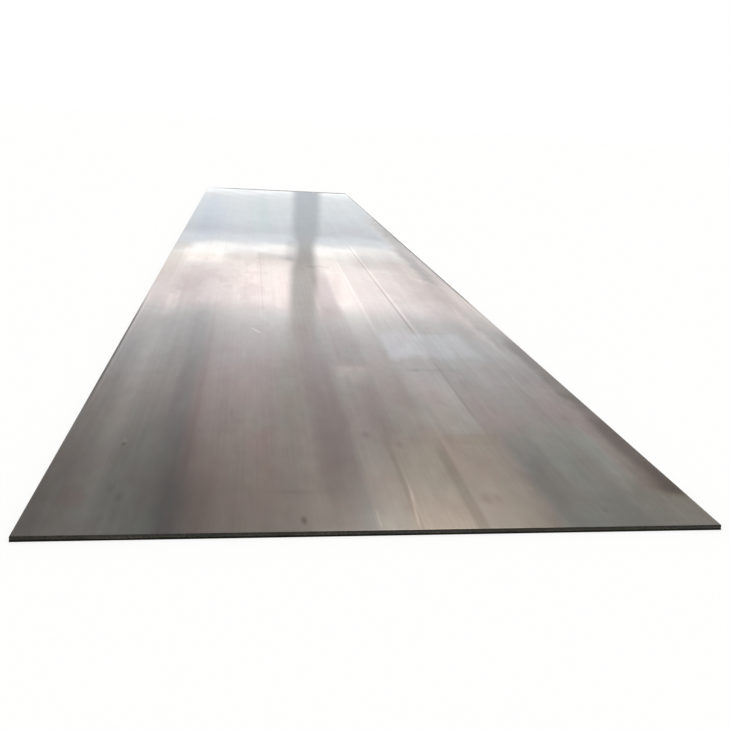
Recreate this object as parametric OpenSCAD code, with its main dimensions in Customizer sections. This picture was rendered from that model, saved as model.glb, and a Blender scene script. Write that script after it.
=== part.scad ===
// Hot-rolled steel plate, cut to size on a shear.
// It lies flat, with its length along Y, which is the rolling direction.
// The origin is the middle of the underside, and Z is up.

/* [Plate] */
// Length along the rolling direction
plate_length = 10000; // [3000:100:14000]
// Width across the rolling direction
plate_width = 2000; // [900:10:3600]
// Thickness between the two rolled faces
plate_thickness = 16; // [10:1:50]

/* [Sheared edge] */
// Radius of the roll-over, where the blade bent the top face down
rollover_radius = 1.5; // [0.5:0.1:3]
// Height of the smooth land that the blade cut under the roll-over
land_height = 5; // [2:0.5:6]
// Blade clearance, by which the torn face under the land leans out
tear_lean = 1.2; // [0.2:0.1:2.5]

/* [Hidden] */

mill_grey = [0.52, 0.50, 0.48];
arc_sides = 96;
// How far the tools that shape the plate run past its outline
overrun = 5;
// Height of the line where the land ends and the torn face begins
tear_top = plate_thickness - rollover_radius - land_height;

// One cut edge's roll-over: what is missing from a square upper right corner
module rollover_waste() {
    difference() {
        square(rollover_radius + overrun);
        circle(rollover_radius, $fn = arc_sides);
    }
}

// Section of the plate over one span: torn faces that lean out to the full
// span at the bottom, upright lands above them, and the roll-overs on top
module sheared_section(span) {
    land = span / 2 - tear_lean;
    difference() {
        polygon([
            [-span / 2, 0],
            [span / 2, 0],
            [land, tear_top],
            [land, plate_thickness],
            [-land, plate_thickness],
            [-land, tear_top]
        ]);
        for (side = [0, 1])
            mirror([side, 0])
                translate([land - rollover_radius, plate_thickness - rollover_radius])
                    rollover_waste();
    }
}

// The section over one span, drawn out along the other
module sheared_bar(span, reach) {
    rotate([90, 0, 0])
        linear_extrude(height = reach + 2 * overrun, center = true)
            sheared_section(span);
}

// All four edges are sheared, so the plate is what two crossed bars share
module steel_plate() {
    color(mill_grey)
        intersection() {
            sheared_bar(plate_width, plate_length);
            rotate([0, 0, 90]) sheared_bar(plate_length, plate_width);
        }
}

steel_plate();
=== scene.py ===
"""Looks of a hot-rolled steel plate, cut to size on a shear and lying on a pale floor."""

import math
from collections import namedtuple

import bpy
import numpy as np
from mathutils import Matrix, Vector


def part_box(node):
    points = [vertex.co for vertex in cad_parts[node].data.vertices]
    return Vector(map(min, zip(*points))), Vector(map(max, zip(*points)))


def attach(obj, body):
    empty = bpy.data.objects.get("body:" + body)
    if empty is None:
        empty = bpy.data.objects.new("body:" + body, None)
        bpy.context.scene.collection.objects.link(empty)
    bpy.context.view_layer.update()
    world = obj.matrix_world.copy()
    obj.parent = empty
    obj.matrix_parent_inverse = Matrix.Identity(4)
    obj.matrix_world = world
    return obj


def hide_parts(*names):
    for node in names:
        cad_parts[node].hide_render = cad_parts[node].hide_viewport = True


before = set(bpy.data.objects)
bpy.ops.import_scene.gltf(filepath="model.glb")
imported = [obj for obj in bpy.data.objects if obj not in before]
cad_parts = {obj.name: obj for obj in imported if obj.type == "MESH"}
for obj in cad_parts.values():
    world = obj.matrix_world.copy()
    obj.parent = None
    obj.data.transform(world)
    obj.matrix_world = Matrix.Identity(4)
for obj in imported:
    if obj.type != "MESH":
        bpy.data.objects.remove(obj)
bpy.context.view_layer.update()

# The plate's box, in metres. Its length runs along Y, and the near edge is at the low end.
_, plate_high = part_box("steel_plate")
HALF_WIDTH = plate_high.x
HALF_LENGTH = plate_high.y
THICKNESS = plate_high.z

# Sheared section, as in the solid
ROLLOVER = 0.0015
LAND = 0.0050
LEAN = 0.0012
TEAR_TOP = THICKNESS - ROLLOVER - LAND

# Mesh: faces across and along the top, rows of faces up the torn face and round the roll-over, the
# width of the flat rim that keeps the roll-over's shading off the top, and the degrees between two
# faces past which they meet in a sharp line
WIDTH_STEPS = 160
LENGTH_STEPS = 320
TEAR_ROWS = 5
ROLLOVER_ROWS = 4
FLAT_RIM = 0.004
SHARP_ANGLE = 35

# Relief of the edges: how deep the torn face is, how far the line above it swings, and the burr
TEAR_DEPTH = 0.0006
TEAR_LINE_SWING = 0.0014
BURR = 0.0003
SEED = 16
# Random walks round the rim that make this relief: metres between two values, and share. Each row
# of the torn face has one more of its own.
TEAR_WALKS = [(0.05, 0.6), (0.20, 0.4)]
TEAR_LINE_WALKS = [(0.03, 0.6), (0.35, 0.4)]
ROW_SPACING = 0.02
ROW_SHARE = 0.7

# Relief of the rolled face: the most that it lies below the full thickness, and the waves that
# share it, as metres along for one wave, metres across for one wave, phase and share
SAG = 0.0004
WAVES = [
    (3.70, 9.0, 0.8, 0.35),
    (1.45, 2.6, 2.1, 0.25),
    (0.90, -0.7, 4.0, 0.22),
    (0.62, 0.4, 1.2, 0.18),
]

# Camera: the picture's size and the focal length in pixels, the sensor's width in millimetres, where
# it stands from the middle of the near edge, how it is turned, in degrees, and how far it sees
IMAGE_SIZE = 730
FOCAL_PIXELS = 794.5
SENSOR = 36.0
CAMERA_ASIDE = -0.392
CAMERA_BACK = 1.930
CAMERA_ABOVE = 1.087
CAMERA_YAW = 8.77
CAMERA_PITCH = 17.27
CAMERA_ROLL = 3.45
CAMERA_REACH = 1200.0

# Light dome: colour by degrees above the horizon
DOME = [
    (0.0, (1.03, 1.09, 1.13)),
    (5.14, (1.10, 1.14, 1.16)),
    (5.22, (1.46, 1.49, 1.50)),
    (5.42, (1.46, 1.49, 1.50)),
    (5.54, (1.05, 1.09, 1.12)),
    (7.0, (1.00, 1.06, 1.11)),
    (8.2, (0.90, 0.94, 0.99)),
    (8.3, (1.09, 1.15, 1.23)),
    (8.8, (1.12, 1.18, 1.24)),
    (9.0, (1.75, 1.72, 1.70)),
    (9.3, (1.75, 1.72, 1.70)),
    (9.7, (1.42, 1.34, 1.30)),
    (10.3, (1.44, 1.34, 1.31)),
    (11.1, (1.32, 1.21, 1.19)),
    (11.9, (1.34, 1.22, 1.21)),
    (12.9, (1.46, 1.34, 1.33)),
    (14.2, (0.92, 0.90, 0.91)),
    (15.8, (0.94, 0.93, 0.95)),
    (17.1, (0.89, 0.84, 0.85)),
    (18.5, (0.79, 0.72, 0.70)),
    (20.4, (0.71, 0.63, 0.60)),
    (22.5, (0.62, 0.55, 0.52)),
    (24.6, (0.54, 0.485, 0.45)),
    (28.0, (0.41, 0.37, 0.345)),
    (36.0, (0.41, 0.37, 0.345)),
    (46.0, (1.28, 1.28, 1.28)),
    (57.0, (1.70, 1.70, 1.70)),
    (70.0, (1.10, 1.10, 1.10)),
    (90.0, (0.90, 0.90, 0.90)),
]

# Places where the dome is brighter or darker: degrees right of +Y and above the horizon, how soft
# their sides and edges are, and what they multiply the dome's colour by
Patch = namedtuple("Patch", "left right low high side edge gain")

PATCHES = [
    # Brighter middle of the back light, and a dull place right of the gap
    Patch(-1.5, 10.5, 10.6, 15.0, 6.0, 0.8, (1.32, 1.32, 1.32)),
    Patch(5.0, 6.6, 11.0, 14.5, 0.4, 0.5, (0.88, 0.87, 0.87)),
    # Low in it, a bright place on the left, dull ones left of the gap and dull ends
    Patch(-4.6, -1.8, 9.4, 10.35, 0.5, 0.15, (1.24, 1.23, 1.20)),
    Patch(-1.6, -0.6, 9.6, 10.05, 0.3, 0.10, (0.93, 0.92, 0.92)),
    Patch(0.5, 3.1, 9.6, 10.10, 0.3, 0.10, (0.82, 0.81, 0.81)),
    Patch(2.2, 3.4, 9.6, 10.10, 0.3, 0.10, (0.92, 0.92, 0.92)),
    Patch(2.6, 3.4, 8.7, 10.20, 0.3, 0.10, (0.80, 0.80, 0.80)),
    Patch(7.6, 14.0, 9.0, 10.40, 0.6, 0.20, (0.86, 0.86, 0.86)),
    Patch(-14.0, -3.9, 8.9, 9.5, 0.5, 0.10, (0.74, 0.74, 0.75)),
    # Brighter place under the back lights
    Patch(-1.5, 3.0, 7.0, 8.2, 1.0, 0.15, (1.06, 1.06, 1.06)),
    # Bluish and greenish places low on the left, and a dull one on the right
    Patch(-3.6, -1.6, 5.8, 8.3, 0.9, 0.20, (0.975, 0.985, 1.02)),
    Patch(0.2, 1.1, 5.8, 8.3, 0.6, 0.20, (0.965, 1.005, 0.985)),
    Patch(9.0, 14.0, 7.5, 8.3, 0.5, 0.15, (0.86, 0.86, 0.87)),
    # Darker left of the room, high up
    Patch(-60.0, -1.0, 22.0, 50.0, 5.0, 4.0, (0.74, 0.73, 0.73)),
]

# Gap between the two back lights: degrees right of +Y, its soft sides, where it ends above and how
# softly, and half its width and its own grey by degrees above the horizon
GAP_AZIMUTH = 3.95
GAP_SOFT = 0.38
GAP_TOP = 16.5
GAP_TOP_SOFT = 1.0
GAP = [
    (0.0, 0.92, (0.68, 0.74, 0.80)),
    (8.2, 0.92, (0.70, 0.75, 0.79)),
    (8.9, 0.62, (0.76, 0.77, 0.78)),
    (10.0, 0.73, (0.70, 0.67, 0.645)),
    (11.0, 1.00, (0.91, 0.85, 0.82)),
    (15.5, 1.00, (0.93, 0.88, 0.86)),
]

# Front softbox: degrees right of +Y, half its width, its lower and upper edge, its soft sides and
# its light
BOX_AZIMUTH = 15.4
BOX_HALF = 6.5
BOX_LOW = 30.0
BOX_HIGH = 62.0
BOX_SOFT = 5.0
BOX_LIGHT = (2.42, 2.22, 2.00, 1.0)

# Floor, and how much of it the camera sees as plain white
FLOOR_RADIUS = 120.0
FLOOR_SIDES = 96
FLOOR_GREY = (0.96, 0.96, 0.96, 1.0)
FLOOR_WHITE = 0.75
WHITE = (1.0, 1.0, 1.0, 1.0)

# Noises: cell in metres across, along and deep, how much fine detail, and a shift that sets each apart
Noise = namedtuple("Noise", "cell detail shift")
# Range that most of a noise lies in
NOISE_LOW = 0.3
NOISE_HIGH = 0.7

STEEL_NOISES = {
    # Sides and ends of the marks
    "wander": Noise((0.40, 0.90, 1.0), 3.0, 3.0),
    "feather": Noise((0.05, 1.20, 1.0), 4.0, 5.0),
    # Streaks along the rolling direction
    "broad": Noise((0.11, 9.0, 1.0), 2.0, 7.0),
    "fine": Noise((0.022, 4.0, 1.0), 2.0, 11.0),
    "hair": Noise((0.004, 0.8, 1.0), 2.0, 13.0),
    # Smudges, thin oxide, wear and blotches
    "cloud": Noise((0.28, 0.70, 1.0), 4.0, 17.0),
    "mottle": Noise((0.05, 0.10, 1.0), 3.0, 23.0),
    "hue": Noise((0.13, 0.40, 1.0), 3.0, 29.0),
    "wear": Noise((0.09, 0.55, 1.0), 3.0, 31.0),
    "blot": Noise((0.17, 0.42, 1.0), 4.0, 37.0),
}

# Rolled faces: the steel's two colours, the noises' tints, and where the thin oxide's own starts and
# is whole
LIGHT_STEEL = (0.386, 0.400, 0.392, 1.0)
DARK_STEEL = (0.336, 0.349, 0.342, 1.0)
NOISE_TINTS = {
    "fine": (0.905, 0.905, 0.905),
    "hair": (0.925, 0.925, 0.925),
    "cloud": (0.95, 0.93, 0.90),
    "mottle": (0.925, 0.905, 0.915),
}
HUE_START = 0.40
HUE_FULL = 0.60
HUE_TINT = (1.01, 0.955, 0.968)

# Their roughness seen steeply and at a grazing angle, the facing of both, and how the smudges and
# the streaks change it
STEEP_ROUGHNESS = 0.24
GRAZING_ROUGHNESS = 0.034
STEEP_FACING = 0.5
GRAZING_FACING = 0.83
CLOUD_ROUGHNESS = (0.85, 1.15)
STREAK_ROUGHNESS = (-0.1, 0.1)

# Bumps: strength, and depth in metres
Bump = namedtuple("Bump", "strength depth")
STEEL_BUMP = Bump(0.15, 0.00004)
EDGE_BUMP = Bump(0.6, 0.0004)

# How far the marks' sides wander and their ends are feathered, in metres, and how strong the marks
# stay where they are worn
WANDER = 0.010
FEATHER = 0.06
WORN = 0.65
# How far the torn stains' sides and ends wander, and how strong the glossy marks, the painted
# shade among them, stay where they are worn
STAIN_SIDE = 0.03
STAIN_END = 0.08
GLOSSY_WORN = 0.75
# Noise at which a blotch starts and is whole, and where a spot ends, in its own half sizes
BLOT_START = 0.49
BLOT_FULL = 0.55
SPOT_REACH = 1.2

# Top of the colour ramps, in degrees, and the places of the colour sockets on a mix node
ZENITH = 90.0
MIX_FIRST = 6
MIX_SECOND = 7
MIX_RESULT = 2


class Graph:
    """Builds the nodes of one shader tree."""

    def __init__(self, tree):
        self.tree = tree
        tree.nodes.clear()

    def feed(self, socket, value):
        """Links another node's output to an input, or sets its number."""
        if isinstance(value, bpy.types.NodeSocket):
            self.tree.links.new(value, socket)
        elif value is not None:
            socket.default_value = value

    def node(self, kind, *values, **settings):
        """A new node. The values feed its first inputs in order, and None leaves one as it is."""
        made = self.tree.nodes.new("ShaderNode" + kind)
        for name, setting in settings.items():
            setattr(made, name, setting)
        for socket, value in zip(made.inputs, values):
            self.feed(socket, value)
        return made

    def filled(self, kind, values):
        """A new node. The values feed the inputs of those names."""
        made = self.node(kind)
        for name, value in values.items():
            self.feed(made.inputs[name], value)
        return made

    def math(self, operation, *values):
        return self.node("Math", *values, operation=operation).outputs[0]

    def vector(self, operation, *values):
        return self.node("VectorMath", *values, operation=operation)

    def step(self, value, start, end):
        """0 before start and 1 after end, with a smooth change between. start may be the greater."""
        made = self.node("MapRange", value, start, end, interpolation_type="SMOOTHSTEP", clamp=False)
        return made.outputs[0]

    def span(self, value, low, high, soft):
        """1 from low to high and 0 outside them, with soft sides."""
        rise = self.step(value, low - soft, low + soft)
        fall = self.step(value, high + soft, high - soft)
        return self.math("MULTIPLY", rise, fall)

    def noise(self, place, noise):
        """A noise round 0.5."""
        scale = [1 / side for side in noise.cell]
        scaled = self.vector("MULTIPLY_ADD", place, scale, [noise.shift] * 3).outputs[0]
        made = self.filled("TexNoise", {"Vector": scaled, "Scale": 1.0, "Detail": noise.detail})
        return made.outputs["Fac"]

    def rescaled(self, value, low, high):
        """Brings the usual range of a noise to low and high."""
        made = self.node("MapRange", value, NOISE_LOW, NOISE_HIGH, low, high, clamp=False)
        return made.outputs[0]

    def blend(self, share, first, second):
        """A number that goes from the first to the second."""
        return self.node("Mix", share, None, first, second).outputs[0]

    def mixed(self, share, first, second, blend="MIX"):
        """A colour that goes from the first to its blend with the second."""
        made = self.node("Mix", share, data_type="RGBA", blend_type=blend)
        self.feed(made.inputs[MIX_FIRST], first)
        self.feed(made.inputs[MIX_SECOND], second)
        return made.outputs[MIX_RESULT]

    def tinted(self, colour, mask, tint):
        """The colour, multiplied by the tint where the mask is 1."""
        return self.mixed(mask, colour, (*tint, 1.0), "MULTIPLY")

    def ramp(self, degrees, stops):
        """Outputs of a ramp from the horizon up, with stops of (degrees, colour and alpha)."""
        made = self.node("ValToRGB", self.math("DIVIDE", degrees, ZENITH))
        elements = made.color_ramp.elements
        while len(elements) < len(stops):
            elements.new(0.5)
        for element, (place, colour) in zip(elements, stops):
            element.position = place / ZENITH
            element.color = colour
        return made.outputs

    def bumped(self, bump, height):
        """Normals of a surface with that bump."""
        values = {"Strength": bump.strength, "Distance": bump.depth, "Height": height}
        return self.filled("Bump", values).outputs["Normal"]

    def surface(self, colour, metal, roughness, normal):
        """Ends the tree in a surface of that kind."""
        values = {"Base Color": colour, "Metallic": metal, "Roughness": roughness, "Normal": normal}
        self.node("OutputMaterial", self.filled("BsdfPrincipled", values).outputs[0])


# Rings round the plate: how far in and how high each lies, and the kind of the faces above it

Ring = namedtuple("Ring", "inset height kind")


def walk(distance, spacing, random):
    """Smooth random values from -1 to 1 round the rim, with that much rim between two of them."""
    count = round(distance[-1] / spacing)
    heights = random.uniform(-1, 1, count)
    place = distance / distance[-1] * (count - 1)
    before = place.astype(int)
    share = place - before
    share = share * share * (3 - 2 * share)
    return heights[before] * (1 - share) + heights[(before + 1) % count] * share


def summed(distance, walks, random):
    """The sum of walks with those spacings and shares."""
    return sum(share * walk(distance, spacing, random) for spacing, share in walks)


def plate_rings(distance, random):
    """The rings from the bottom edge up."""
    torn = TEAR_DEPTH * summed(distance, TEAR_WALKS, random)
    line = TEAR_TOP + TEAR_LINE_SWING * summed(distance, TEAR_LINE_WALKS, random)
    none = np.zeros_like(distance)
    rings = [Ring(none + BURR, none, "torn"), Ring(none, none + BURR, "torn")]
    for row in range(1, TEAR_ROWS):
        share = row / TEAR_ROWS
        rough = torn + TEAR_DEPTH * ROW_SHARE * walk(distance, ROW_SPACING, random)
        inset = LEAN * share + np.abs(rough) * math.sin(math.pi * share)
        rings.append(Ring(inset, line * share, "torn"))
    rings.append(Ring(none + LEAN, line, "land"))
    for row in range(ROLLOVER_ROWS + 1):
        turn = math.pi / 2 * row / ROLLOVER_ROWS
        inset = LEAN + ROLLOVER * (1 - math.cos(turn))
        height = THICKNESS - ROLLOVER + ROLLOVER * math.sin(turn)
        # The roll-over's faces take the land's near-black colour, which is partly painted shade
        kind = "land" if row < ROLLOVER_ROWS else "rolled"
        rings.append(Ring(none + inset, none + height, kind))
    rings.append(Ring(none + LEAN + ROLLOVER + FLAT_RIM, none + THICKNESS, "rolled"))
    return rings


def rim_points():
    """A walk round the unit square from the near left corner, with the top's own spacing."""
    across = np.linspace(-1, 1, WIDTH_STEPS + 1)
    along = np.linspace(-1, 1, LENGTH_STEPS + 1)
    sides = [
        [(x, -1) for x in across[:-1]],
        [(1, y) for y in along[:-1]],
        [(x, 1) for x in across[:0:-1]],
        [(-1, y) for y in along[:0:-1]],
    ]
    return np.array([point for side in sides for point in side], float)


def ring_faces(rings, count):
    """The faces from each ring to the next, and their kinds."""
    faces, kinds = [], []
    for row, ring in enumerate(rings[:-1]):
        below, above = row * count, (row + 1) * count
        for here in range(count):
            there = (here + 1) % count
            faces.append((below + here, below + there, above + there, above + here))
        kinds += [ring.kind] * count
    return faces, kinds


def top_grid(rim, first):
    """Point numbers of the top's grid, where the rim's run on from first, and its inner points' places."""
    grid = np.full((WIDTH_STEPS + 1, LENGTH_STEPS + 1), -1)
    columns = np.rint((rim[:, 0] + 1) / 2 * WIDTH_STEPS).astype(int)
    lines = np.rint((rim[:, 1] + 1) / 2 * LENGTH_STEPS).astype(int)
    grid[columns, lines] = first + np.arange(len(rim))
    inside = np.argwhere(grid < 0)
    grid[grid < 0] = first + len(rim) + np.arange(len(inside))
    return grid, inside / [WIDTH_STEPS, LENGTH_STEPS] * 2 - 1


def grid_faces(grid):
    """The faces of the top's grid."""
    faces = []
    for column in range(WIDTH_STEPS):
        for line in range(LENGTH_STEPS):
            near, far = grid[column:column + 2, line], grid[column:column + 2, line + 1]
            faces.append((near[0], near[1], far[1], far[0]))
    return faces


def sag(x, y):
    """How far the rolled face lies below the full thickness."""
    total = 0.0
    for along, across, phase, share in WAVES:
        turn = 2 * np.pi * (y / along + x / across) + phase
        total = total + share * (0.5 + 0.5 * np.sin(turn))
    return SAG * total


def plate_mesh():
    """The plate as one closed mesh: rings up its edges, a grid on top and one flat face below."""
    rim = rim_points()
    count = len(rim)
    half = np.array([HALF_WIDTH, HALF_LENGTH])
    steps = np.linalg.norm((np.roll(rim, -1, 0) - rim) * half, axis=1)
    distance = np.concatenate([[0.0], np.cumsum(steps)[:-1]])
    rings = plate_rings(distance, np.random.default_rng(SEED))
    points = [np.column_stack([rim * (half - ring.inset[:, None]), ring.height]) for ring in rings]
    faces, kinds = ring_faces(rings, count)

    grid, inner = top_grid(rim, (len(rings) - 1) * count)
    inner = inner * (half - rings[-1].inset[0])
    points.append(np.column_stack([inner, np.full(len(inner), THICKNESS)]))
    top = grid_faces(grid)
    faces += top
    kinds += ["rolled"] * len(top)

    faces.append(tuple(range(count - 1, -1, -1)))
    kinds.append("under")
    points = np.concatenate(points)
    points[:, 2] *= 1 - sag(points[:, 0], points[:, 1]) / THICKNESS
    return points, faces, kinds


def build_plate(materials):
    """Builds the plate, with one material for each kind of face."""
    points, faces, kinds = plate_mesh()
    mesh = bpy.data.meshes.new("plate")
    mesh.from_pydata(points.tolist(), [], [[int(corner) for corner in face] for face in faces])
    names = list(materials)
    for name in names:
        mesh.materials.append(materials[name])
    mesh.polygons.foreach_set("material_index", [names.index(kind) for kind in kinds])
    mesh.shade_smooth()
    mesh.set_sharp_from_angle(angle=math.radians(SHARP_ANGLE))
    plate = bpy.data.objects.new("plate", mesh)
    bpy.context.scene.collection.objects.link(plate)
    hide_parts("steel_plate")
    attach(plate, "root")


# Marks on the top face: metres across from the middle line, metres along from the near edge, how
# soft their sides and ends are, the tint that they give the steel, and how far they lean across for
# each metre along. Those that reach past the plate's outline run out over its edges.

Mark = namedtuple("Mark", "left right near far side end tint lean", defaults=(0.0,))
PAST = 1.1
BEFORE = -1.0
BEYOND = 11.0

BANDS = [
    # Left: a greenish grey zone with a dark rim, a light streak and a dark band
    Mark(-PAST, -0.58, BEFORE, 2.20, 0.05, 0.90, (0.82, 0.87, 0.86)),
    Mark(-0.81, -0.62, BEFORE, 0.75, 0.05, 0.40, (0.96, 1.04, 1.02)),
    Mark(-0.83, -0.69, BEFORE, 0.35, 0.04, 0.20, (1.09, 1.09, 1.09)),
    Mark(-PAST, -0.91, 0.10, 1.90, 0.05, 0.50, (0.72, 0.71, 0.70)),
    Mark(-0.88, -0.82, 0.00, 2.05, 0.02, 0.50, (1.13, 1.14, 1.14)),
    Mark(-0.65, -0.50, BEFORE, 0.50, 0.035, 0.40, (0.82, 0.79, 0.80)),
    Mark(-0.65, -0.575, BEFORE, 0.60, 0.02, 0.40, (0.80, 0.78, 0.81)),
    Mark(-0.69, -0.61, 0.10, 2.50, 0.025, 0.60, (0.70, 0.71, 0.75)),
    Mark(-0.62, -0.57, 0.60, 2.30, 0.012, 0.40, (0.89, 0.82, 0.84)),
    Mark(-0.60, -0.55, 0.00, 2.30, 0.015, 0.60, (0.97, 0.93, 0.93)),
    Mark(-PAST, -0.88, 0.90, 1.85, 0.04, 0.30, (0.84, 0.84, 0.84)),
    Mark(-0.76, -0.63, 1.35, 2.10, 0.03, 0.20, (0.89, 0.89, 0.89)),
    Mark(-0.93, -0.76, BEFORE, 0.14, 0.03, 0.06, (1.07, 1.07, 1.07)),
    Mark(-0.85, -0.60, 2.20, 2.56, 0.03, 0.15, (0.88, 0.90, 0.90)),
    Mark(-0.93, -0.85, 0.16, 0.26, 0.015, 0.04, (1.02, 0.91, 0.92)),
    # Middle: pink, olive and mauve bands
    Mark(-0.60, -0.28, 0.25, 2.00, 0.04, 0.50, (1.05, 0.97, 0.98)),
    Mark(-0.55, -0.08, BEFORE, 0.50, 0.05, 0.40, (1.04, 0.97, 0.92)),
    Mark(-0.43, -0.15, 0.10, 0.80, 0.04, 0.20, (1.12, 1.11, 1.09)),
    Mark(-0.45, -0.24, 0.76, 0.94, 0.04, 0.06, (0.95, 1.03, 1.02)),
    Mark(-0.45, -0.15, 1.65, 2.12, 0.05, 0.15, (1.07, 1.07, 1.06)),
    Mark(-0.45, -0.33, 0.60, 4.50, 0.04, 0.50, (1.09, 1.08, 1.08)),
    Mark(-0.26, -0.14, 0.80, 1.70, 0.03, 0.35, (0.93, 0.94, 0.89)),
    Mark(-0.15, -0.03, 0.28, 2.30, 0.025, 0.25, (0.86, 0.79, 0.82)),
    Mark(-0.22, -0.14, BEFORE, 0.60, 0.02, 0.08, (1.08, 1.08, 1.08)),
    Mark(-0.02, 0.07, BEFORE, 0.50, 0.02, 0.40, (1.12, 1.11, 1.09)),
    Mark(-0.03, 0.09, 0.30, 1.15, 0.03, 0.20, (1.07, 1.07, 1.07)),
    Mark(0.07, 0.15, 0.72, 1.34, 0.015, 0.15, (0.92, 0.87, 0.88)),
    Mark(0.00, 0.13, 1.30, 1.49, 0.03, 0.12, (1.46, 1.42, 1.38)),
    Mark(-0.01, 0.15, 1.55, 2.65, 0.03, 0.10, (0.90, 0.86, 0.84)),
    # Right of the middle: tan near the edge, light and bluish farther on
    Mark(-0.02, 0.50, BEFORE, 0.42, 0.04, 0.40, (1.08, 1.06, 1.03)),
    Mark(0.08, 0.51, BEFORE, 0.72, 0.03, 0.10, (1.11, 1.06, 0.98)),
    Mark(0.16, 0.34, 0.38, 0.62, 0.02, 0.05, (1.09, 1.09, 1.09)),
    Mark(0.22, 0.31, 0.52, 0.95, 0.02, 0.10, (1.12, 1.11, 1.10)),
    Mark(0.16, 0.28, 1.45, 2.00, 0.02, 0.20, (1.09, 1.09, 1.08)),
    Mark(0.16, 0.28, 0.60, 4.50, 0.02, 0.80, (1.11, 1.10, 1.08)),
    Mark(0.28, 0.47, 0.20, 4.50, 0.025, 0.90, (1.11, 1.11, 1.10)),
    Mark(0.28, 0.47, 0.70, 2.25, 0.02, 0.15, (1.11, 1.15, 1.16)),
    Mark(0.32, 0.47, 0.78, 1.30, 0.03, 0.12, (1.17, 1.14, 1.14)),
    Mark(0.47, 0.80, 0.76, 2.12, 0.05, 0.14, (1.07, 1.12, 1.13)),
    Mark(0.49, 0.62, 0.74, 1.15, 0.03, 0.15, (1.09, 1.01, 1.02)),
    Mark(0.50, 0.58, 0.76, 0.92, 0.02, 0.05, (1.13, 1.11, 1.11)),
    Mark(0.29, 0.72, 1.66, 2.10, 0.02, 0.08, (1.32, 1.35, 1.43)),
    Mark(0.55, 0.72, 2.15, 2.65, 0.03, 0.10, (1.10, 1.10, 1.11)),
    # Far right: a greenish grey zone with darker and lighter streaks
    Mark(0.53, 0.87, BEFORE, 0.72, 0.02, 0.12, (0.92, 1.03, 1.00)),
    Mark(0.53, 0.64, 0.00, 0.66, 0.02, 0.14, (0.86, 0.87, 0.89)),
    Mark(0.70, 0.80, 0.36, 0.52, 0.03, 0.08, (0.93, 0.93, 0.93)),
    Mark(0.81, 0.89, 0.28, 0.66, 0.02, 0.10, (1.10, 1.12, 1.12)),
    Mark(0.77, 0.87, 0.42, 1.00, 0.02, 0.10, (0.92, 0.92, 0.92)),
    Mark(0.81, 0.92, 0.16, 0.25, 0.02, 0.03, (0.87, 0.87, 0.87)),
    Mark(0.76, 0.92, 0.80, 1.55, 0.04, 0.25, (0.90, 0.89, 0.89)),
    Mark(0.85, PAST, BEFORE, 0.24, 0.03, 0.08, (0.93, 1.01, 0.94)),
    # There too: an olive smudge under the brown scale, a green one beside it and a pink one beyond
    Mark(0.84, PAST, 0.13, 0.30, 0.04, 0.05, (0.96, 0.95, 0.88)),
    Mark(0.64, 0.81, 0.34, 0.74, 0.04, 0.08, (0.96, 1.03, 1.02)),
    Mark(0.73, PAST, 0.74, 1.02, 0.05, 0.08, (1.05, 0.98, 1.00)),
    Mark(0.82, PAST, 1.28, 1.72, 0.05, 0.12, (0.89, 0.89, 0.89)),
    # Farther on: bright polished bands between duller pink ones
    Mark(-0.56, -0.13, 2.30, 4.40, 0.06, 0.60, (1.12, 1.08, 1.06)),
    Mark(-0.24, -0.13, 2.50, 4.30, 0.03, 0.50, (1.15, 1.13, 1.11)),
    Mark(-0.86, -0.60, 2.50, 3.90, 0.05, 0.50, (0.88, 0.84, 0.85)),
    Mark(-0.85, -0.67, 3.00, 3.50, 0.03, 0.15, (0.87, 0.84, 0.86)),
    Mark(-0.87, -0.80, 2.42, 2.95, 0.02, 0.15, (1.42, 1.40, 1.37)),
    Mark(-0.42, -0.32, 3.30, 3.85, 0.03, 0.10, (1.25, 1.24, 1.24)),
    Mark(-PAST, -0.90, 3.40, 5.00, 0.02, 0.30, (0.84, 0.80, 0.74)),
    Mark(0.03, 0.14, 2.50, 3.65, 0.02, 0.20, (0.70, 0.64, 0.66)),
    Mark(0.15, 0.28, 2.30, 4.60, 0.02, 0.50, (1.24, 1.22, 1.20)),
    Mark(0.66, 0.90, 2.50, 4.70, 0.05, 0.60, (0.81, 0.78, 0.77)),
    Mark(0.04, 0.20, 3.93, 4.00, 0.04, 0.03, (0.58, 0.55, 0.55)),
    Mark(0.63, 0.90, 2.95, 4.45, 0.006, 0.30, (0.92, 0.91, 0.91)),
    # Far third: faint blue and green streaks
    Mark(-0.90, -0.76, 5.00, 9.40, 0.03, 0.50, (0.79, 0.82, 0.91)),
    Mark(-0.28, -0.18, 5.80, 9.40, 0.03, 0.60, (0.77, 0.87, 0.82)),
    # Right margin: pale wisps
    Mark(0.79, 0.86, 1.75, 2.85, 0.02, 0.25, (1.08, 1.08, 1.07)),
    Mark(0.925, 0.945, 2.75, 3.30, 0.010, 0.12, (1.30, 1.27, 1.22)),
    Mark(0.920, 0.945, 3.31, 3.64, 0.012, 0.05, (1.50, 1.44, 1.36), -0.51),
    Mark(0.750, 0.775, 3.64, 4.15, 0.012, 0.08, (1.30, 1.27, 1.22), 0.05),
]
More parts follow.
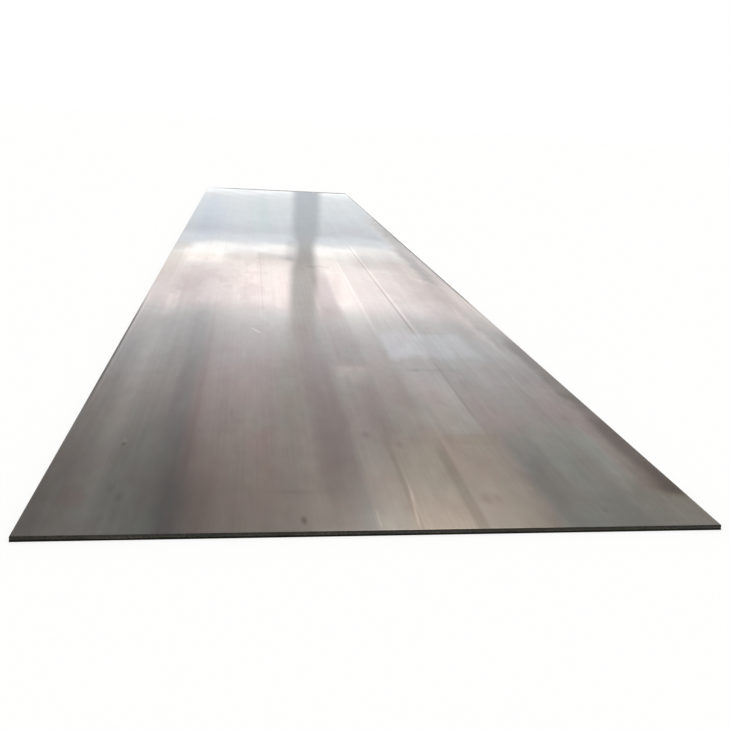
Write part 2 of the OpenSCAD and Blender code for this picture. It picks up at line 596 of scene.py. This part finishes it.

# Straight marks: thin lines along the rolling direction, the painted shade and highlights of shallow
# creases across it, painted highlights along the rims of the long sides, and a painted shade along
# the left half of the near edge
LINES = [
    Mark(0.479, 0.489, 2.12, 5.00, 0.005, 0.20, (0.50, 0.47, 0.45), -0.008),
    Mark(0.495, 0.509, 2.14, 5.00, 0.004, 0.30, (1.38, 1.37, 1.35), -0.008),
    # Painted shade of a shallow crease across the plate
    Mark(0.480, 0.700, 2.105, 2.125, 0.02, 0.012, (0.88, 0.87, 0.86)),
    Mark(0.474, 0.486, 0.86, 1.62, 0.005, 0.10, (0.80, 0.79, 0.78)),
    Mark(-0.316, -0.308, 2.55, 4.40, 0.005, 0.15, (0.78, 0.75, 0.75)),
    Mark(0.272, 0.288, 2.10, 4.50, 0.008, 0.40, (1.22, 1.22, 1.21)),
    Mark(0.258, 0.294, BEFORE, 0.62, 0.008, 0.18, (0.80, 0.79, 0.77)),
    Mark(0.088, 0.104, 0.06, 0.62, 0.006, 0.10, (0.86, 0.84, 0.83)),
    Mark(0.106, 0.114, 0.02, 0.45, 0.004, 0.08, (1.12, 1.12, 1.12)),
    Mark(0.088, 0.097, 0.03, 0.24, 0.004, 0.05, (1.40, 1.41, 1.43), 0.07),
    # Painted shade of a shallow crease across the plate
    Mark(0.325, 0.510, 0.60, 0.70, 0.012, 0.012, (0.94, 0.91, 0.88)),
    Mark(-0.340, -0.326, 2.05, 2.14, 0.006, 0.012, (1.50, 1.52, 1.50), -0.42),
    # Painted highlights along the rims of the right and the left long side
    Mark(0.970, 0.986, 2.20, 4.50, 0.006, 0.30, (1.35, 1.33, 1.28), -0.012),
    Mark(-0.986, -0.974, 1.00, 2.90, 0.005, 0.30, (1.30, 1.29, 1.29)),
    Mark(-0.020, -0.014, 0.02, 0.12, 0.003, 0.02, (1.20, 1.21, 1.22)),
    Mark(0.155, 0.165, 1.20, 1.36, 0.006, 0.05, (1.10, 1.11, 1.10)),
    # Painted highlight and shade of shallow creases across the plate
    Mark(0.00, 0.15, 1.44, 1.50, 0.03, 0.030, (1.15, 1.12, 1.09)),
    Mark(0.30, 0.54, 1.44, 1.48, 0.04, 0.02, (0.88, 0.89, 0.90)),
    Mark(0.50, 0.78, 1.45, 1.48, 0.08, 0.02, (0.95, 0.95, 0.95)),
    Mark(-0.32, -0.18, 0.235, 0.250, 0.08, 0.016, (0.88, 0.86, 0.84)),
    # Painted shade along the left half of the near edge
    Mark(-PAST, 0.0, BEFORE, 0.005, 0.15, 0.005, (0.75, 0.75, 0.74)),
]

# Irregular blotches: where they lie, and their tint
BLOTCHES = [
    Mark(-0.95, -0.25, 2.60, 4.50, 0.15, 0.60, (0.84, 0.81, 0.82)),
    Mark(0.45, 0.92, 2.40, 4.30, 0.10, 0.60, (0.88, 0.86, 0.85)),
    Mark(0.30, PAST, BEFORE, 2.20, 0.10, 0.40, (0.93, 0.92, 0.91)),
    Mark(-PAST, 0.30, BEFORE, 2.40, 0.10, 0.40, (0.95, 0.94, 0.94)),
    Mark(-PAST, PAST, 3.80, BEYOND, 0.10, 0.80, (0.95, 0.94, 0.93)),
]

# Marks with a gloss of their own: brown scale and a grey margin along the right edge, a darker, duller
# far end, and dark rims of the long sides, painted shade on the right one. They have a roughness, a
# share of metal, and torn sides or straight ones.
GlossyMark = namedtuple("GlossyMark", "mark roughness metal torn", defaults=(True,))

STAINS_AND_SHADE = [
    GlossyMark(Mark(0.870, PAST, 0.27, 1.15, 0.040, 0.06, (0.60, 0.54, 0.50), 0.05), 0.25, 0.85),
    GlossyMark(Mark(0.935, PAST, 0.27, 0.80, 0.030, 0.05, (0.50, 0.46, 0.43)), 0.25, 0.85),
    GlossyMark(Mark(0.935, PAST, 0.70, 2.00, 0.030, 0.25, (0.40, 0.38, 0.36)), 0.25, 0.85),
    GlossyMark(Mark(0.875, PAST, 1.60, 3.30, 0.02, 0.35, (0.84, 0.86, 0.82)), 0.085, 1.0),
    GlossyMark(Mark(0.840, 0.868, 1.75, 2.75, 0.012, 0.20, (1.24, 1.23, 1.20)), 0.085, 1.0),
    GlossyMark(Mark(0.78, 0.89, 2.65, 3.40, 0.05, 0.20, (0.82, 0.78, 0.76)), 0.12, 1.0),
    GlossyMark(Mark(0.875, PAST, 0.27, 0.50, 0.03, 0.05, (0.78, 0.71, 0.67)), 0.25, 0.85),
    GlossyMark(Mark(0.84, 0.925, 3.40, 4.85, 0.03, 0.30, (0.62, 0.57, 0.54)), 0.20, 0.64),
    GlossyMark(Mark(0.88, PAST, 3.30, 5.30, 0.03, 0.40, (0.72, 0.67, 0.64)), 0.20, 0.78),
    GlossyMark(Mark(0.87, PAST, 5.10, 7.10, 0.10, 0.60, (0.42, 0.39, 0.37)), 0.26, 0.36),
    # A darker, duller far end
    GlossyMark(Mark(-0.80, PAST, 9.88, BEYOND, 0.20, 0.05, (0.68, 0.67, 0.66)), 0.42, 0.38, False),
    # Dark rims of the long sides: painted shade along the right one, a darker, duller strip along the left
    # one
    GlossyMark(Mark(0.988, PAST, 2.90, 9.80, 0.004, 0.40, (0.35, 0.33, 0.31)), 0.50, 0.30, False),
    GlossyMark(Mark(-PAST, -0.989, 0.90, 2.60, 0.004, 0.40, (0.40, 0.38, 0.36)), 0.50, 0.35, False),
]

# Spots: metres across, metres along, half width, half length and tint
Spot = namedtuple("Spot", "across along width length tint")

SPOTS = [
    Spot(-0.230, 0.065, 0.012, 0.030, (0.56, 0.54, 0.51)),
    # Painted shade and highlight of a small bump: darker on its near side, lighter on its far side
    Spot(-0.800, 0.605, 0.011, 0.020, (0.66, 0.66, 0.64)),
    Spot(-0.800, 0.640, 0.011, 0.020, (1.25, 1.22, 1.13)),
    Spot(-0.790, 0.280, 0.020, 0.035, (0.86, 0.84, 0.84)),
    Spot(-0.756, 0.220, 0.020, 0.035, (0.88, 0.86, 0.86)),
    Spot(0.335, 0.185, 0.022, 0.050, (0.86, 0.84, 0.81)),
    Spot(0.372, 0.190, 0.016, 0.040, (0.88, 0.86, 0.83)),
    Spot(0.370, 1.460, 0.022, 0.040, (0.82, 0.81, 0.82)),
    Spot(0.030, 0.690, 0.024, 0.045, (0.80, 0.77, 0.79)),
    Spot(0.136, 0.600, 0.018, 0.040, (0.87, 0.85, 0.83)),
    Spot(-0.450, 0.900, 0.008, 0.060, (0.88, 0.86, 0.86)),
    Spot(0.680, 0.105, 0.014, 0.025, (0.86, 0.86, 0.86)),
    Spot(0.700, 0.145, 0.020, 0.030, (1.07, 1.07, 1.06)),
    Spot(0.495, 0.250, 0.008, 0.030, (1.14, 1.14, 1.13)),
    Spot(0.740, 5.900, 0.020, 0.160, (1.30, 1.30, 1.29)),
]


def new_material(name):
    """A new material, and the empty graph of its nodes."""
    material = bpy.data.materials.new(name)
    material.use_nodes = True
    return material, Graph(material.node_tree)


def swayed(graph, course, across_noise, across_reach, along_noise, along_reach):
    """The course, moved across and along by two noises by about that many metres."""
    across, along = course
    across = graph.math("ADD", across, graph.rescaled(across_noise, -across_reach, across_reach))
    along = graph.math("ADD", along, graph.rescaled(along_noise, -along_reach, along_reach))
    return across, along


def mark_mask(graph, mark, course):
    """1 on the mark and 0 off it, where the course is metres across and along."""
    across, along = course
    if mark.lean:
        shift = graph.math("MULTIPLY_ADD", along, -mark.lean, mark.lean * mark.near)
        across = graph.math("ADD", across, shift)
    sides = graph.span(across, mark.left, mark.right, mark.side)
    ends = graph.span(along, mark.near, mark.far, mark.end)
    return graph.math("MULTIPLY", sides, ends)


def spot_mask(graph, place, spot):
    """1 in the middle of the spot, and 0 where it ends."""
    scale = (1 / spot.width, 1 / spot.length, 0.0)
    shift = (-spot.across / spot.width, (HALF_LENGTH - spot.along) / spot.length, 0.0)
    reach = graph.vector("LENGTH", graph.vector("MULTIPLY_ADD", place, scale, shift).outputs[0])
    return graph.step(reach.outputs["Value"], SPOT_REACH, 0.0)


def plain_steel(graph, noises):
    """Colour of the steel with its streaks, smudges and thin oxide, without marks."""
    colour = graph.mixed(graph.rescaled(noises["broad"], 0.0, 1.0), LIGHT_STEEL, DARK_STEEL)
    for name, tint in NOISE_TINTS.items():
        colour = graph.tinted(colour, graph.rescaled(noises[name], 0.0, 1.0), tint)
    return graph.tinted(colour, graph.step(noises["hue"], HUE_START, HUE_FULL), HUE_TINT)


def plain_roughness(graph, noises):
    """Roughness of the steel without stains, which falls towards a grazing angle."""
    facing = graph.node("LayerWeight").outputs["Facing"]
    ends = (STEEP_FACING, GRAZING_FACING, STEEP_ROUGHNESS, GRAZING_ROUGHNESS)
    rough = graph.node("MapRange", facing, *ends).outputs[0]
    smudges = graph.rescaled(noises["cloud"], *CLOUD_ROUGHNESS)
    streaks = graph.rescaled(noises["fine"], *STREAK_ROUGHNESS)
    return graph.math("MULTIPLY", rough, graph.math("ADD", smudges, streaks))


def mill_material(name, bands=(), blotches=(), lines=(), stains_and_shade=(), spots=()):
    """Rolled steel with the marks given."""
    material, graph = new_material(name)
    place = graph.node("TexCoord").outputs["Object"]
    noises = {key: graph.noise(place, noise) for key, noise in STEEL_NOISES.items()}
    parts = graph.node("SeparateXYZ", place).outputs
    straight = parts["X"], graph.math("ADD", parts["Y"], HALF_LENGTH)
    ragged = swayed(graph, straight, noises["wander"], WANDER, noises["feather"], FEATHER)
    blot = graph.step(noises["blot"], BLOT_START, BLOT_FULL)

    plain = plain_steel(graph, noises)
    marked = plain
    for band in bands:
        marked = graph.tinted(marked, mark_mask(graph, band, ragged), band.tint)
    for blotch in blotches:
        mask = graph.math("MULTIPLY", mark_mask(graph, blotch, ragged), blot)
        marked = graph.tinted(marked, mask, blotch.tint)
    colour = graph.mixed(graph.rescaled(noises["wear"], WORN, 1.0), plain, marked)
    for line in lines:
        colour = graph.tinted(colour, mark_mask(graph, line, straight), line.tint)
    for spot in spots:
        colour = graph.tinted(colour, spot_mask(graph, place, spot), spot.tint)

    rough = plain_roughness(graph, noises)
    metal = 1.0
    torn = swayed(graph, straight, noises["hue"], STAIN_SIDE, noises["cloud"], STAIN_END)
    for marking in stains_and_shade:
        mask = mark_mask(graph, marking.mark, torn if marking.torn else straight)
        mask = graph.math("MULTIPLY", mask, graph.rescaled(noises["wear"], GLOSSY_WORN, 1.0))
        colour = graph.tinted(colour, mask, marking.mark.tint)
        rough = graph.blend(mask, rough, marking.roughness)
        metal = graph.blend(mask, metal, marking.metal)
    graph.surface(colour, metal, rough, graph.bumped(STEEL_BUMP, noises["fine"]))
    return material


# Cut edges: near-black colours, partly oxide and partly painted shade, the heights between which
# the grain is lighter, the least of it elsewhere, the roughness and the grain

Edge = namedtuple("Edge", "dark light low high least roughness grain")

LAND_EDGE = Edge(
    dark=(0.020, 0.020, 0.018),
    light=(0.058, 0.055, 0.048),
    low=0.0,
    high=THICKNESS,
    least=1.0,
    roughness=0.45,
    grain=Noise((0.004, 0.004, 0.05), 4.0, 5.0),
)
TORN_EDGE = Edge(
    dark=(0.012, 0.012, 0.010),
    light=(0.150, 0.143, 0.118),
    low=0.006,
    high=0.010,
    least=0.08,
    roughness=0.70,
    grain=Noise((0.006, 0.006, 0.003), 4.0, 5.0),
)
# Stains on them: their noise, how far they move those heights and how soft these are, in metres, and
# how light the dullest grain and stains stay
EDGE_STAIN = Noise((0.2, 0.2, 0.05), 3.0, 9.0)
EDGE_SWAY = 0.001
EDGE_SOFT = 0.001
DULL_GRAIN = 0.2
DULL_STAIN = 0.5


def edge_material(name, edge):
    """A cut edge: near-black, partly oxide and partly painted shade, with lighter grain."""
    material, graph = new_material(name)
    place = graph.node("TexCoord").outputs["Object"]
    grain = graph.noise(place, edge.grain)
    marking = graph.noise(place, EDGE_STAIN)
    height = graph.node("SeparateXYZ", place).outputs["Z"]
    height = graph.math("ADD", height, graph.rescaled(marking, -EDGE_SWAY, EDGE_SWAY))
    stained = graph.rescaled(marking, DULL_STAIN, 1.0)
    share = graph.math("MULTIPLY", graph.rescaled(grain, DULL_GRAIN, 1.0), stained)
    lighter = graph.span(height, edge.low, edge.high, EDGE_SOFT)
    share = graph.math("MULTIPLY", share, graph.math("MAXIMUM", lighter, edge.least))
    colour = graph.mixed(share, (*edge.dark, 1.0), (*edge.light, 1.0))
    graph.surface(colour, 1.0, edge.roughness, graph.bumped(EDGE_BUMP, grain))
    return material


def build_floor():
    """A wide pale floor with the plate's shadow. The camera and mirrors see it near white."""
    bpy.ops.mesh.primitive_circle_add(vertices=FLOOR_SIDES, radius=FLOOR_RADIUS, fill_type="NGON")
    floor = bpy.context.object
    floor.name = "floor"
    material, graph = new_material("floor")
    path = graph.node("LightPath").outputs
    seen = graph.math("MAXIMUM", path["Is Camera Ray"], path["Is Glossy Ray"])
    seen = graph.math("MAXIMUM", seen, path["Is Transmission Ray"])
    paint = graph.node("BsdfDiffuse", FLOOR_GREY).outputs[0]
    white = graph.node("Emission", WHITE, 1.0).outputs[0]
    share = graph.math("MULTIPLY", seen, FLOOR_WHITE)
    graph.node("OutputMaterial", graph.node("MixShader", share, paint, white).outputs[0])
    floor.data.materials.append(material)


def build_world():
    """A soft dome whose colour changes with height. The camera sees plain white beyond the floor."""
    world = bpy.data.worlds.new("studio")
    world.use_nodes = True
    bpy.context.scene.world = world
    graph = Graph(world.node_tree)
    way = graph.node("SeparateXYZ", graph.node("TexCoord").outputs["Generated"]).outputs
    height = graph.math("DEGREES", graph.math("ARCSINE", way["Z"]))
    azimuth = graph.math("DEGREES", graph.math("ARCTAN2", way["X"], way["Y"]))
    dome = graph.ramp(height, [(degrees, (*colour, 1.0)) for degrees, colour in DOME])["Color"]
    for patch in PATCHES:
        sides = graph.span(azimuth, patch.left, patch.right, patch.side)
        edges = graph.span(height, patch.low, patch.high, patch.edge)
        dome = graph.tinted(dome, graph.math("MULTIPLY", sides, edges), patch.gain)
    gap = graph.ramp(height, [(degrees, (*grey, half)) for degrees, half, grey in GAP])
    away = graph.math("ABSOLUTE", graph.math("SUBTRACT", azimuth, GAP_AZIMUTH))
    inside = graph.step(graph.math("SUBTRACT", away, gap["Alpha"]), GAP_SOFT, -GAP_SOFT)
    top = graph.step(height, GAP_TOP + GAP_TOP_SOFT, GAP_TOP - GAP_TOP_SOFT)
    inside = graph.math("MULTIPLY", inside, top)
    dome = graph.mixed(inside, dome, gap["Color"])
    box = graph.span(azimuth, BOX_AZIMUTH - BOX_HALF, BOX_AZIMUTH + BOX_HALF, BOX_SOFT)
    box = graph.math("MULTIPLY", box, graph.span(height, BOX_LOW, BOX_HIGH, BOX_SOFT))
    dome = graph.mixed(box, dome, BOX_LIGHT)
    soft = graph.node("Background", dome, 1.0).outputs[0]
    white = graph.node("Background", WHITE, 1.0).outputs[0]
    path = graph.node("LightPath").outputs
    seen = graph.math("MAXIMUM", path["Is Camera Ray"], path["Is Transmission Ray"])
    graph.node("OutputWorld", graph.node("MixShader", seen, soft, white).outputs[0])


def build_camera():
    """The view along the plate, from before its near edge."""
    data = bpy.data.cameras.new("camera")
    data.sensor_width = SENSOR
    data.lens = FOCAL_PIXELS * SENSOR / IMAGE_SIZE
    data.clip_end = CAMERA_REACH
    camera = bpy.data.objects.new("camera", data)
    place = (CAMERA_ASIDE, -HALF_LENGTH - CAMERA_BACK, THICKNESS + CAMERA_ABOVE)
    yaw = Matrix.Rotation(math.radians(-CAMERA_YAW), 4, "Z")
    pitch = Matrix.Rotation(math.radians(90 - CAMERA_PITCH), 4, "X")
    roll = Matrix.Rotation(math.radians(CAMERA_ROLL), 4, "Z")
    camera.matrix_world = Matrix.Translation(place) @ yaw @ pitch @ roll
    bpy.context.scene.collection.objects.link(camera)
    bpy.context.scene.camera = camera


build_camera()
build_world()
build_floor()
build_plate({
    "rolled": mill_material("rolled_face", BANDS, BLOTCHES, LINES, STAINS_AND_SHADE, SPOTS),
    "land": edge_material("sheared_land", LAND_EDGE),
    "torn": edge_material("torn_face", TORN_EDGE),
    "under": mill_material("underside"),
})
bpy.context.scene.view_settings.view_transform = "Standard"
